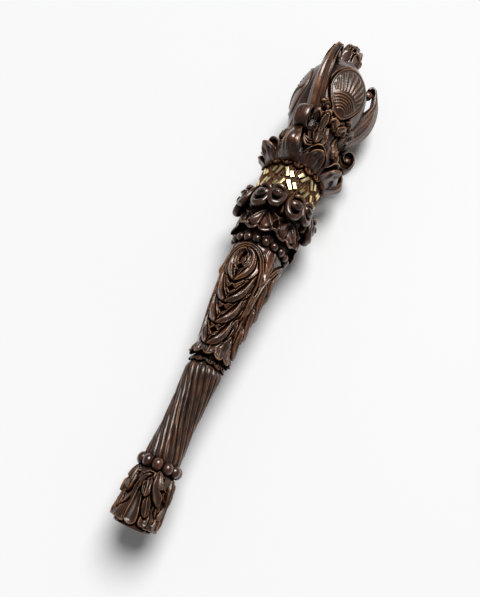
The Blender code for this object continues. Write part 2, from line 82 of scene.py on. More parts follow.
def hump(x, centre, width, power=2):
    """1 at the centre, and almost gone at twice the width from it."""
    return np.exp(-(((x - centre) / width) ** power))


def curve(points, count):
    """A smooth line of count points through the given points."""
    p = np.asarray(points, float)
    p = np.vstack([2 * p[0] - p[1], p, 2 * p[-1] - p[-2]])
    spots = np.linspace(0.0, len(p) - 3 - 1e-9, count)
    i = spots.astype(int)
    t = (spots - i)[:, None]
    a, b, c, d = p[i], p[i + 1], p[i + 2], p[i + 3]
    return 0.5 * (2 * b + (c - a) * t + (2 * a - 5 * b + 4 * c - d) * t**2 + (3 * b - a - 3 * c + d) * t**3)


def table(x, points):
    """Values read off a smooth line through (x, value) points."""
    line = curve(points, 16 * len(points))
    return np.interp(x, line[:, 0], line[:, 1])


def apart(angle, centre, period=360.0):
    """The signed turn from a centre to an angle, within half a period."""
    return (np.asarray(angle) - centre + 0.5 * period) % period - 0.5 * period


def ring_angles(columns):
    return np.arange(columns) * 360.0 / columns


def polar(angle, radius, height):
    """Points at these angles in degrees, radii and heights."""
    angle, radius, height = np.broadcast_arrays(np.radians(angle), radius, height)
    return np.stack([radius * np.cos(angle), radius * np.sin(angle), height], -1)


def linked(name, data):
    item = bpy.data.objects.new(name, data)
    scene.collection.objects.link(item)
    return item


def placed(points):
    """Points in mace coordinates as points in the row frame, in metres, inside the CAD model's box."""
    x, y, s = points.T
    cos, sin = math.cos(LYING_ROLL), math.sin(LYING_ROLL)
    x, y = cos * x - sin * y, sin * x + cos * y
    cos, sin = math.cos(LYING_PITCH), math.sin(LYING_PITCH)
    along = AXIS_START + cos * s - sin * x
    up = AXIS_HEIGHT + sin * s + cos * x
    spots = np.stack([along, AXIS_SIDE - y, up], -1) / 1000.0
    return np.clip(spots, np.array(cad_low) + BOX_MARGIN, np.array(cad_high) - BOX_MARGIN)


# ---- closed skins


class Solid:
    """Closed skins that make up one piece."""

    def __init__(self):
        self.points = []
        self.faces = []
        self.count = 0

    def add(self, grid, ring=False):
        """Adds rows of points, each a loop. The last row joins the first in a ring, or both are capped."""
        points = grid.reshape(-1, 3)
        index = np.arange(len(points)).reshape(grid.shape[:2])
        near = index if ring else index[:-1]
        far = np.roll(index, -1, 0) if ring else index[1:]
        quads = np.stack([near, np.roll(near, -1, 1), np.roll(far, -1, 1), far], -1).reshape(-1, 4)
        a, b, c, d = (points[quads[:, k]] for k in range(4))
        inside = points.mean(0)
        volume = np.sum(np.cross(b - a, d - a) * (a - inside))
        volume += np.sum(np.cross(d - c, b - c) * (c - inside))
        faces = quads.tolist()
        if not ring:
            low, high = index[0].tolist(), index[-1].tolist()
            faces += [[len(points), b, a] for a, b in zip(low, low[1:] + low[:1])]
            faces += [[len(points) + 1, a, b] for a, b in zip(high, high[1:] + high[:1])]
            points = np.vstack([points, grid[0].mean(0), grid[-1].mean(0)])
        way = -1 if volume < 0 else 1
        self.faces += [[self.count + k for k in face[::way]] for face in faces]
        self.points.append(points)
        self.count += len(points)

    def build(self, name, material, wear=0.00022):
        """Makes the piece. wear is how far an edge stands out, in metres, when it is worn through."""
        mesh = bpy.data.meshes.new(name)
        mesh.from_pydata(placed(np.vstack(self.points)).tolist(), [], self.faces)
        mesh.polygons.foreach_set("use_smooth", np.ones(len(mesh.polygons), bool))
        mark_wear(mesh, wear)
        mesh.materials.append(material)
        piece = linked(name, mesh)
        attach(piece, "root")
        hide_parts(WOOD_NODE)


def mesh_values(items, key, width, kind=np.float32):
    """A property of all vertices or edges, as rows of width numbers."""
    values = np.zeros(len(items) * width, kind)
    items.foreach_get(key, values)
    return values.reshape(-1, width)


def mark_wear(mesh, worn_full):
    """Vertex attributes, 0 to 1: 'worn' on edges that stand out, 'hollow' below the surroundings."""
    fine_rounds, broad_rounds = 3, 40
    hollow_full = 0.0010
    points = mesh_values(mesh.vertices, "co", 3).astype(float)
    normals = mesh_values(mesh.vertices, "normal", 3)
    a, b = mesh_values(mesh.edges, "vertices", 2, np.int32).T
    ends = np.concatenate([a, b])
    others = np.concatenate([b, a])
    count = len(points)
    degree = np.maximum(np.bincount(ends, minlength=count), 1)
    soft = points.copy()
    for turn in range(broad_rounds):
        for axis in range(3):
            mean = np.bincount(ends, weights=soft[others, axis], minlength=count) / degree
            soft[:, axis] = 0.5 * (soft[:, axis] + mean)
        if turn == fine_rounds - 1:
            worn = np.sum((points - soft) * normals, axis=1) / worn_full
    # The wood materials darken these hollows as painted shade.
    hollow = np.sum((soft - points) * normals, axis=1) / hollow_full
    for label, value in (("worn", worn), ("hollow", hollow)):
        attribute = mesh.attributes.new(label, "FLOAT", "POINT")
        attribute.data.foreach_set("value", np.clip(value, 0.0, 1.0).astype(np.float32))


def unit(rows):
    return rows / np.linalg.norm(rows, axis=1)[:, None]


def squarer(wave, power):
    """A wave from -1 to 1, squarer the lower the power is below 1."""
    return np.sign(wave) * np.abs(wave) ** power


def rounded_ends(share, blunt, least):
    """A width of 1 that rounds off to least within blunt of both ends."""
    end = np.clip(np.minimum(share, 1.0 - share) / blunt, 0.0, 1.0)
    return np.sqrt(np.clip(1.0 - (1.0 - end) ** 2, least, 1.0))


def bar(path, half_width, half_depth, outward, around=20, square=0.75, blunt=0.08):
    """Rows of loops along a path, flat across, with rounded ends. half_depth is measured towards outward."""
    tangent = unit(np.gradient(path, axis=0))
    out = np.broadcast_to(outward, path.shape)
    out = unit(out - np.sum(out * tangent, axis=1)[:, None] * tangent)
    side = np.cross(tangent, out)
    close = rounded_ends(np.linspace(0.0, 1.0, len(path)), blunt, 0.003)
    turn = np.linspace(0.0, 2.0 * math.pi, around, endpoint=False)
    wide = (half_width * close)[:, None] * squarer(np.cos(turn), square)
    deep = (half_depth * close)[:, None] * squarer(np.sin(turn), square)
    return path[:, None] + side[:, None] * wide[..., None] + out[:, None] * deep[..., None]


def rod(points, count, half_width, half_depth, **shape):
    """A bar along a smooth line through (angle, height, radius) points."""
    line = curve(points, count)
    path = polar(line[:, 0], line[:, 2], line[:, 1])
    return bar(path, half_width, half_depth, polar(line[:, 0], 1.0, 0.0), **shape)


def ball(angle, radius, height, size, rows=14, columns=20, tilt=0.0):
    """An ellipsoid standing on the mace. size is (outward, around, along) half lengths."""
    pole_gap = 0.04
    down = np.linspace(pole_gap, math.pi - pole_gap, rows)[:, None]
    turn = np.linspace(0.0, 2.0 * math.pi, columns, endpoint=False)
    around = size[1] * np.sin(down) * np.cos(turn)
    along = size[2] * np.cos(down)
    outward = size[0] * np.sin(down) * np.sin(turn)
    cos, sin = math.cos(tilt), math.sin(tilt)
    around, along = around * cos - along * sin, around * sin + along * cos
    out = polar(angle, 1.0, 0.0)
    side = polar(angle + 90.0, 1.0, 0.0)
    centre = out * radius + UP * height
    return centre + outward[..., None] * out + around[..., None] * side + along[..., None] * UP


def shell(angle, r, s, wall, rows, lift, rim, back, least):
    """A thin wall round the axis, as closed loops: outside, rim, inside, and a line at the back.

    r and s hold the outside's radii and heights. The inside follows these rows of it, a wall's thickness in
    but no nearer to the axis than least, and lift higher. rim is how far the rim's line is set in and up.
    """
    rim_r = r[:, -1:] - rim[0]
    rim_s = s[:, -1:] + rim[1]
    inner_r = np.maximum(r[:, ::-1][:, rows] - wall, least)
    inner_s = s[:, ::-1][:, rows] + lift
    radii = np.hstack([r, rim_r, inner_r, np.full_like(rim_r, back[0])])
    heights = np.hstack([s, rim_s, inner_s, np.full_like(rim_s, back[1])])
    return polar(angle[:, None], radii, heights)


# ---- carved relief

# Widths along a leaf from its root to its tip, as shares of its greatest half width.
POINTED = ((0.0, 0.35, 0.6, 0.85, 0.95, 1.0), (0.35, 0.85, 1.0, 0.66, 0.3, 0.0))
FULL = ((0.0, 0.3, 0.55, 0.8, 0.93, 1.0), (0.55, 0.95, 1.0, 0.8, 0.42, 0.0))
STEMMED = ((0.0, 0.25, 0.5, 0.78, 0.92, 1.0), (0.25, 0.5, 0.95, 0.92, 0.5, 0.0))
LOBE = ((0.0, 0.4, 0.75, 1.0), (0.4, 0.62, 0.92, 1.0))
STRIP = ((0.0, 0.1, 0.22, 0.78, 0.9, 1.0), (0.1, 0.8, 1.0, 1.0, 0.8, 0.1))
SLIM = ((0.0, 0.5, 0.8, 0.95, 1.0), (0.55, 1.0, 0.75, 0.35, 0.05))

# Heights across a leaf from one edge to the other, as shares of its groove.
PLAIN = ((-1.0, 0.0), (-0.8, 0.35), (-0.5, -0.5), (0.0, -1.0), (0.5, -0.5), (0.8, 0.35), (1.0, 0.0))
RIBBED = ((-1.0, 0.0), (-0.82, 0.3), (-0.46, -0.8), (0.0, 0.6), (0.46, -0.8), (0.82, 0.3), (1.0, 0.0))
FOLDED = ((-1.0, 0.1), (-0.88, 0.5), (-0.6, -1.2), (-0.3, 0.1), (-0.05, 0.85))
FOLDED += ((0.25, 0.8), (0.55, 0.3), (0.8, -0.1), (0.92, 0.15), (1.0, -0.2))
DOUBLE = ((-1.0, -0.5), (-0.62, 0.7), (-0.15, -0.9), (0.15, -0.9), (0.62, 0.7), (1.0, -0.5))
EYE = ((-1.0, -0.6), (-0.72, 0.6), (-0.38, -0.9), (0.0, 0.1), (0.38, -0.9), (0.72, 0.6), (1.0, -0.6))
ROUND = ((-1.0, -1.2), (-0.6, -0.3), (0.0, 0.2), (0.6, -0.3), (1.0, -1.2))

# How far a leaf's edge is softened, in mm.
SOFT_EDGE = 1.2


class Relief:
    """A carved skin round the axis: a base radius for each row, and what the carving adds to it."""

    def __init__(self, profile, step, columns, butt=False):
        """profile holds (height, radius) points. With butt the skin goes on over the rim of the flat end."""
        self.s = np.arange(profile[0][0], profile[-1][0] + 0.5 * step, step)
        self.radius = table(self.s, profile)
        self.height = self.s.copy()
        self.lean = np.ones(len(self.s))
        if butt:
            rim, margin, rounding = self.radius[0], 0.3, 3.0
            inner = np.arange(2.0 * margin, rim - margin, 0.7)
            lean = smoothstep((inner - rim + rounding) / rounding) * 0.7
            self.s = np.concatenate([inner - rim - margin, self.s])
            self.radius = np.concatenate([inner, self.radius])
            self.height = np.concatenate([np.full(len(inner), profile[0][0]), self.height])
            self.lean = np.concatenate([lean, self.lean])
        self.angle = ring_angles(columns)
        self.h = np.zeros((len(self.s), columns))

    def near(self, line, reach):
        """Rows and columns near a line, and each spot's share along it and signed distance from it."""
        middle = 0.5 * (line[:, 0].min() + line[:, 0].max())
        rows = np.flatnonzero((self.s >= line[:, 1].min() - reach) & (self.s <= line[:, 1].max() + reach))
        thinnest = 4.0
        radius = np.maximum(self.radius[rows], thinnest)
        turn = apart(self.angle, middle)
        half = np.abs(line[:, 0] - middle).max() + math.degrees(reach / radius.min())
        columns = np.flatnonzero(np.abs(turn) <= half)
        x = np.radians(turn[columns])[None, :] * radius[:, None]
        y = np.broadcast_to(self.s[rows][:, None], x.shape)
        px = np.radians(line[:, 0] - middle) * np.interp(line[:, 1], self.s, self.radius)
        py = line[:, 1]
        best = np.full(x.shape, np.inf)
        share = np.zeros(x.shape)
        sign = np.ones(x.shape)
        for k in range(len(line) - 1):
            dx, dy = px[k + 1] - px[k], py[k + 1] - py[k]
            t = np.clip(((x - px[k]) * dx + (y - py[k]) * dy) / (dx * dx + dy * dy + 1e-9), 0.0, 1.0)
            ox, oy = x - px[k] - t * dx, y - py[k] - t * dy
            far = ox * ox + oy * oy
            closer = far < best
            best = np.where(closer, far, best)
            share = np.where(closer, (k + t) / (len(line) - 1), share)
            sign = np.where(closer, np.sign(dx * oy - dy * ox), sign)
        return rows, columns, share, sign * np.sqrt(best)

    def leaf(self, path, half, lift, section, groove=1.0, widths=FULL, flip=1, root=0.35, undercut=2.4):
        """A leaf laid over the carving so far, rising from root to tip, with a deep cut beside it."""
        margin, cut_width = 3.2, 1.5
        rows, columns, share, off = self.near(curve(path, 14), half + margin)
        spot = np.ix_(rows, columns)
        width = half * np.interp(share, *widths)
        inside = width - np.abs(off)
        cover = smoothstep(inside / SOFT_EDGE + 0.5)
        v = np.clip(flip * off / np.maximum(width, 0.05), -1.0, 1.0)
        shape = groove * table(v, section) * np.minimum(1.0, width / (0.5 * half))
        top = lift * (root + (1.0 - root) * share) + shape
        gap = np.clip(-inside, 0.0, None)
        cut = undercut * smoothstep((share - 0.2) / 0.3) * hump(gap, 0.0, cut_width, 4) * (1.0 - cover)
        self.h[spot] = self.h[spot] * (1.0 - cover) + top * cover - cut

    def ridge(self, path, half, height, taper=0.15):
        """A rounded ridge along a line, or a groove where height is negative."""
        rows, columns, share, off = self.near(curve(path, 16), 1.5 * half + 0.5)
        ends = smoothstep(np.minimum(share, 1.0 - share) / taper) * (np.abs(off) < 3.0 * half)
        self.h[np.ix_(rows, columns)] += height * ends * hump(off, 0.0, 0.62 * half)

    def local(self, angle, height, wide, tall):
        """Rows and columns within a box about a spot, and their distances from it, in mm."""
        rows = np.flatnonzero(np.abs(self.s - height) <= tall)
        radius = np.interp(height, self.s, self.radius)
        turn = apart(self.angle, angle)
        columns = np.flatnonzero(np.abs(turn) <= math.degrees(wide / radius))
        x = np.radians(turn[columns])[None, :] * radius
        y = (self.s[rows] - height)[:, None]
        return np.ix_(rows, columns), *np.broadcast_arrays(x, y)

    def pit(self, angle, height, wide, tall, depth, power=2.0):
        """A hole, round or with power below 1 a star of four points. depth below 0 makes a boss."""
        spot, x, y = self.local(angle, height, wide, tall)
        q = np.abs(x / wide) ** power + np.abs(y / tall) ** power
        steepness = 2.2
        hole = smoothstep((1.0 - q) * steepness)
        self.h[spot] = self.h[spot] * (1.0 - hole) - depth * hole

    def ripple(self, size, depth, seed, stretch=1.0, low=-np.inf, high=np.inf):
        """Small unevenness left by the gouge, with features of about this size, in mm."""
        draw = np.random.default_rng(seed)
        radius = float(np.mean(self.radius))
        total = np.zeros(self.h.shape)
        waves = 22
        for _ in range(waves):
            way = draw.uniform(0.0, math.pi)
            long = size * draw.uniform(0.7, 1.6)
            m = round(radius * 2.0 * math.pi / long * math.cos(way))
            k = 2.0 * math.pi / (long * stretch) * math.sin(way)
            phase = draw.uniform(0.0, 2.0 * math.pi)
            total += np.cos(m * np.radians(self.angle)[None, :] + (k * self.s)[:, None] + phase)
        inside = smoothstep((self.s - low) / 2.0) * smoothstep((high - self.s) / 2.0)
        self.h += depth * total / math.sqrt(waves) * inside[:, None]

    def solid(self):
        """The carved skin as a closed solid."""
        r = self.radius[:, None] + self.h * self.lean[:, None]
        made = Solid()
        made.add(polar(self.angle, np.maximum(r, 0.2), self.height[:, None]))
        return made


# ---- materials


def shader_tree(name):
    material = bpy.data.materials.new(name)
    material.use_nodes = True
    tree = material.node_tree
    place = node(tree, "ShaderNodeTexCoord", {}).outputs["Object"]
    return material, tree, tree.nodes["Principled BSDF"], place


def feed(tree, item, inputs):
    """Sets a node's inputs to values, or links them to the sockets that feed them."""
    for key, value in inputs.items():
        if isinstance(value, bpy.types.NodeSocket):
            tree.links.new(value, item.inputs[key])
        else:
            item.inputs[key].default_value = value


def node(tree, kind, inputs, **settings):
    made = tree.nodes.new(kind)
    for key, value in settings.items():
        setattr(made, key, value)
    feed(tree, made, inputs)
    return made


def maths(tree, operation, a, b):
    return node(tree, "ShaderNodeMath", {0: a, 1: b}, operation=operation).outputs[0]


def weighted(tree, start, *parts):
    """A start value with a share of each (value, share) part added."""
    for value, share in parts:
        start = maths(tree, "ADD", start, maths(tree, "MULTIPLY", value, share))
    return start


def mixed(tree, factor, a, b):
    return node(tree, "ShaderNodeMix", {0: factor, 6: a, 7: b}, data_type="RGBA").outputs[2]


def occlusion(tree, distance, samples):
    return node(tree, "ShaderNodeAmbientOcclusion", {"Distance": distance}, samples=samples).outputs["AO"]


def bumps(tree, height, strength, distance):
    inputs = {"Height": height, "Strength": strength, "Distance": distance}
    return node(tree, "ShaderNodeBump", inputs).outputs[0]


def spread(tree, value, low, high, to_low=0.0, to_high=1.0):
    """A value mapped smoothly from one range to another, kept inside it."""
    inputs = {0: value, 1: low, 2: high, 3: to_low, 4: to_high}
    return node(tree, "ShaderNodeMapRange", inputs, interpolation_type="SMOOTHSTEP").outputs[0]


def noise(tree, place, scale, detail=3.0, rough=0.55):
    inputs = {"Vector": place, "Scale": scale, "Detail": detail, "Roughness": rough}
    return node(tree, "ShaderNodeTexNoise", inputs).outputs["Fac"]


def streaks(tree, place, scales, detail=3.0, rough=0.55):
    """Noise with a scale of its own along each axis."""
    mapped = node(tree, "ShaderNodeMapping", {"Vector": place, "Scale": scales}).outputs[0]
    return noise(tree, mapped, 1.0, detail, rough)


def tinted(red, green, blue, shade=1.0):
    return (red * shade, green * shade, blue * shade, 1.0)


def wood_material(name, gloss=0.0, warmth=0.0, dull=0.0, shade=1.0):
    """Dark waxed walnut: brown grain, painted shade that turns hollows and occluded spots near black, tan
    where edges are worn.
    """
    material, tree, shader, place = shader_tree(name)
    worn = node(tree, "ShaderNodeAttribute", {}, attribute_name="worn").outputs["Fac"]
    hollow = node(tree, "ShaderNodeAttribute", {}, attribute_name="hollow").outputs["Fac"]
    # closed is where the occlusion node finds surfaces close by: a mask for painted shade.
    closed = spread(tree, occlusion(tree, 0.015, 6), 0.87, 0.50)
    dark = tinted(0.0100, 0.0046, 0.0030, shade)
    brown = tinted(0.052 + 0.010 * warmth, 0.0188, 0.0088, shade)
    red = tinted(0.125 + 0.015 * warmth, 0.036, 0.0115, shade)
    tan = tinted(0.42, 0.19, 0.08)
    # The near black colour of the painted shade.
    painted_shade_colour = tinted(0.0022, 0.0012, 0.0009)

    grain = streaks(tree, place, (30.0, 420.0, 420.0), 4.0, 0.6)
    patch = noise(tree, place, 45.0)
    blotch = streaks(tree, place, (40.0, 170.0, 170.0))
    tone = weighted(tree, 0.0, (grain, 0.55), (patch, 0.45))
    base = mixed(tree, spread(tree, tone, 0.36, 0.64), dark, brown)
    base = mixed(tree, spread(tree, blotch, 0.45, 0.72, 0.0, 0.75 + 0.2 * warmth), base, red)
    rubbed = maths(tree, "MULTIPLY", spread(tree, worn, 0.4, 1.0), spread(tree, patch, 0.36, 0.62, 0.3, 1.0))
    base = mixed(tree, maths(tree, "MULTIPLY", rubbed, 0.8), base, tan)
    # Painted shade: hollows and occluded spots are mixed towards near black.
    painted_shade = maths(tree, "MAXIMUM", spread(tree, hollow, 0.1, 0.85), closed)
    base = mixed(tree, maths(tree, "MULTIPLY", painted_shade, 0.96), base, painted_shade_colour)

    pores = streaks(tree, place, (120.0, 1500.0, 1500.0), 3.0, 0.6)
    tools = noise(tree, place, 330.0, 2.0, 0.5)
    height = weighted(tree, 0.0, (pores, 0.5), (tools, 0.15), (grain, 0.6))
    smoothest = 0.17 - 0.05 * gloss + 0.28 * dull
    inputs = {
        "Base Color": base,
        "Roughness": weighted(tree, smoothest, (grain, 0.16), (patch, 0.12), (painted_shade, 0.35)),
        "Normal": bumps(tree, height, 0.3, 0.0006),
        # The painted shade also takes the reflections and the coat away in the hollows.
        "Specular IOR Level": spread(tree, painted_shade, 0.0, 0.9, 0.75 - 0.45 * dull, 0.02),
        "Specular Tint": tinted(1.0, 0.85, 0.75),
        "Coat Weight": spread(tree, painted_shade, 0.0, 0.7, 0.22 + 0.4 * gloss - 0.22 * dull, 0.0),
        "Coat Roughness": 0.12,
    }
    feed(tree, shader, inputs)
    return material


def brass_material():
    """Scratched brass, with painted shade that turns it brown where it meets the wood."""
    material, tree, shader, place = shader_tree("inlaid_brass")
    patch = noise(tree, place, 160.0)
    scratch = streaks(tree, place, (2500.0, 300.0, 900.0), 2.0)
    base = mixed(tree, spread(tree, patch, 0.3, 0.7), tinted(0.84, 0.60, 0.24), tinted(0.97, 0.82, 0.48))
    # Painted shade: brown where the occlusion node finds the wood close by.
    painted_contact_shade = spread(tree, occlusion(tree, 0.003, 4), 0.6, 0.1, 0.0, 0.8)
    inputs = {
        "Base Color": mixed(tree, painted_contact_shade, base, tinted(0.20, 0.11, 0.035)),
        "Roughness": weighted(tree, 0.22, (patch, 0.2)),
        "Normal": bumps(tree, scratch, 0.25, 0.0002),
        "Metallic": 1.0,
    }
    feed(tree, shader, inputs)
    return material


def floor_material():
    material, tree, shader, place = shader_tree("pale_floor")
    patch = noise(tree, place, 2.0, 2.0)
    inputs = {
        "Base Color": mixed(tree, patch, tinted(0.86, 0.86, 0.865), tinted(0.885, 0.885, 0.885)),
        "Normal": bumps(tree, noise(tree, place, 300.0), 0.03, 0.0002),
        "Roughness": 0.75,
    }
    feed(tree, shader, inputs)
    return material


wood = wood_material("dark_waxed_wood", shade=0.82)
shaft_wood = wood_material("rubbed_wood", gloss=1.0, warmth=0.3, shade=1.15)
polished = wood_material("polished_wood", gloss=1.0, warmth=0.7, shade=0.88)
chiselled = wood_material("chiselled_wood", dull=1.0, shade=0.85)
bracket_wood = wood_material("bracket_wood", gloss=0.6, warmth=0.8, shade=0.85)
head_wood = wood_material("head_wood", gloss=0.5, warmth=0.7, dull=0.2, shade=0.62)
brass = brass_material()


# ---- pieces, from the butt end to the finial


def pommel():
    """Lobes that flare round the butt end, with leaves, stems and holes above them."""
    profile = ((0.2, 19.4), (3, 20.2), (10, 21.0), (25, 21.6), (38, 22.2))
    profile += ((48, 22.0), (55, 20.4), (60, 17.6), (68, 16.5))
    skin = Relief(profile, 0.55, 280, butt=True)
    skin.ripple(6.0, 0.14, 1)
    # Lines from root to tip, as (degrees, height), with a half width, and for leaves a lift and a section.
    lobes = (
        ((-8, 50), (-14, 34), (-30, 20), (-37, 9.0), 5.4),
        ((60, 34), (60, 26), (58, 17), (58, 8.0), 4.4),
        ((38, 34), (42, 26), (43, 17), (43, 9.0), 4.4),
        ((-3, 46), (-6, 32), (-11, 19), (-12, 8.6), 5.8),
        ((4, 44), (8, 30), (12, 19), (13, 8.6), 5.8),
    )
    leaves = (
        ((70, 30), (75, 22), (82, 13), 4.4, 3.6, RIBBED),
        ((66, 42), (78, 38), (92, 32), 4.0, 3.4, PLAIN),
        ((-17, 33), (-28, 24), (-41, 15), 4.8, 4.2, PLAIN),
        ((-32, 54), (-30, 42), (-27, 29), 5.2, 5.2, RIBBED),
        ((30, 32), (36, 23), (43, 13), 4.2, 4.4, RIBBED),
        ((13, 50), (18, 41), (22, 31), 4.6, 4.8, RIBBED),
        ((36, 56), (41, 46), (49, 37), (61, 26.5), 5.4, 5.2, PLAIN),
    )
    for turn in (0, 120, 240):

        def laid(points):
            return [(turn + a, s) for a, s in points]

        for *path, half in lobes:
            skin.leaf(laid(path), half, 4.8, PLAIN, 1.5, LOBE, root=0.15, undercut=1.8)
        skin.ridge(laid(((-2, 52), (0, 38), (0.5, 22), (0.5, 6))), 1.3, 1.8)
        for *path, half, lift, section in leaves:
            skin.leaf(laid(path), half, lift, section, 1.3, undercut=3.0)
        stem = laid(((1, 38), (1, 45), (6, 50.5), (16, 53.5)))
        skin.leaf(stem, 2.0, 4.2, ROUND, 0.8, root=0.7, undercut=2.6)
        skin.ridge(laid(((8, 40), (9, 45), (14, 48.5), (22, 51))), 1.2, 1.6)
        skin.pit(turn + 59.5, 42, 5.0, 4.6, 7.0, power=0.85)
        skin.pit(turn + 53, 52, 1.6, 2.4, 2.5)
        skin.pit(turn - 20, 49, 1.8, 2.4, 2.5)
    skin.ripple(1.6, 0.1, 2, low=49, high=60)
    skin.solid().build("pommel", wood, wear=0.00024)


def bead_ring(name, count, first, radius, height, size, seed):
    """A ring of beads, no two quite alike."""
    draw = np.random.default_rng(seed)
    solid = Solid()
    for k in range(count):
        vary = draw.uniform(-1.0, 1.0, 4)
        grown = np.multiply(size, 1.0 + vary[:3] * (0.03, 0.03, 0.04))
        angle = first + 360.0 * k / count + 0.6 * vary[3]
        solid.add(ball(angle, radius + 0.2 * vary[1], height + 0.25 * vary[2], grown))
    solid.build(name, polished, wear=0.0008)


def grip():
    """A waisted grip of uneven reeds that wind round it, some of them split."""
    profile = ((62, 17), (66, 18.6), (76, 19.0), (92, 18.0), (115, 17.4))
    profile += ((138, 17.9), (158, 19.4), (168, 20.2), (173, 19.4), (177, 17.8))
    skin = Relief(profile, 0.8, 220)
    draw = np.random.default_rng(5)
    reeds = 19
    widths = draw.uniform(0.72, 1.3, reeds)
    bounds = np.concatenate([[0.0], np.cumsum(widths)]) / widths.sum() * 360.0
    depths = draw.uniform(0.8, 1.25, reeds)
    twist = table(skin.s, ((62, 96), (75, 92), (100, 72), (140, 34), (158, 17), (177, 5)))
    sway = 0.0
    for _ in range(3):
        sway = sway + draw.uniform(0.6, 1.6) * np.sin(skin.s / draw.uniform(9, 20) + draw.uniform(0, 6))
    turn = (skin.angle[None, :] - (twist + sway)[:, None]) % 360.0
    reed = np.clip(np.searchsorted(bounds, turn, side="right") - 1, 0, reeds - 1)
    share = (turn - bounds[reed]) / (bounds[reed + 1] - bounds[reed])
    v = 2.0 * share - 1.0
    s = skin.s[:, None]
    lean = np.sin(reed * 2.4 + s / 23.0) * 0.25
    shape = 1.0 - np.abs(v + lean * (1 - v * v)) ** 2.4
    fade = smoothstep((s - 64) / 10.0) * smoothstep((178 - s) / 5.0)
    split = hump(v, 0.1, 0.16) * smoothstep(np.sin(reed * 3.1 + s / 14.0) * 3 - 1.4)
    skin.h += (1.9 * depths[reed] * shape - 1.05 - 0.8 * split) * fade
    skin.ripple(7.0, 0.14, 6, stretch=3.0)
    skin.solid().build("grip", wood, wear=0.00018)


def frill(lobes, first, lip, dip, flare, wave, top, wall=1.8):
    """A flaring ring of rounded lobes that hangs towards the butt, with a thin turned-out lip."""
    angle = ring_angles(280)
    phase = math.pi * apart(angle, first, 360.0 / lobes) * lobes / 360.0
    lobe = np.abs(np.cos(phase)) ** 0.75
    uneven = 0.45 * np.sin(np.radians(3 * angle + 40)) + 0.35 * np.sin(np.radians(5 * angle))
    tip = (lip - dip * lobe + uneven)[:, None]
    reach = (flare + wave * lobe + 0.3 * uneven)[:, None]
    top_s, top_r = top
    t = np.linspace(0.0, 1.0, 30)
    s = top_s + (tip - top_s) * t
    r = top_r + (reach - top_r) * (0.3 * t + 0.7 * np.sin(0.5 * math.pi * t) ** 1.4)
    keel = hump(phase, 0.0, 0.22) - 0.8 * hump(np.abs(phase), 0.55, 0.3)
    r = r + 0.9 * keel[:, None] * np.sin(math.pi * t) ** 0.7
    r = r + 0.8 * hump(t, 0.95, 0.05) - 0.5 * hump(t, 0.78, 0.08)
    rim = (0.45 * wall, -0.5)
    return shell(angle, r, s, wall, slice(1, 22), lift=0.5, rim=rim, back=(14.5, top_s - 1.0), least=15.5)


def collar():
    """Two frills between the grip and the shaft, over a dark hollow."""
    skin = Relief(((174.5, 17.6), (180, 17.0), (192, 17.0), (200, 19.0), (207, 20.0)), 0.6, 220)
    skin.ripple(3.5, 0.1, 8)
    solid = skin.solid()
    outer = frill(11, -23.0, lip=191.5, dip=5.4, flare=21.8, wave=2.9, top=(202.0, 19.4))
    inner = frill(11, -7.0, lip=181.2, dip=3.0, flare=19.6, wave=1.5, top=(187.0, 16.6), wall=1.4)
    solid.add(outer, ring=True)
    solid.add(inner, ring=True)
    solid.build("collar", wood, wear=0.00016)


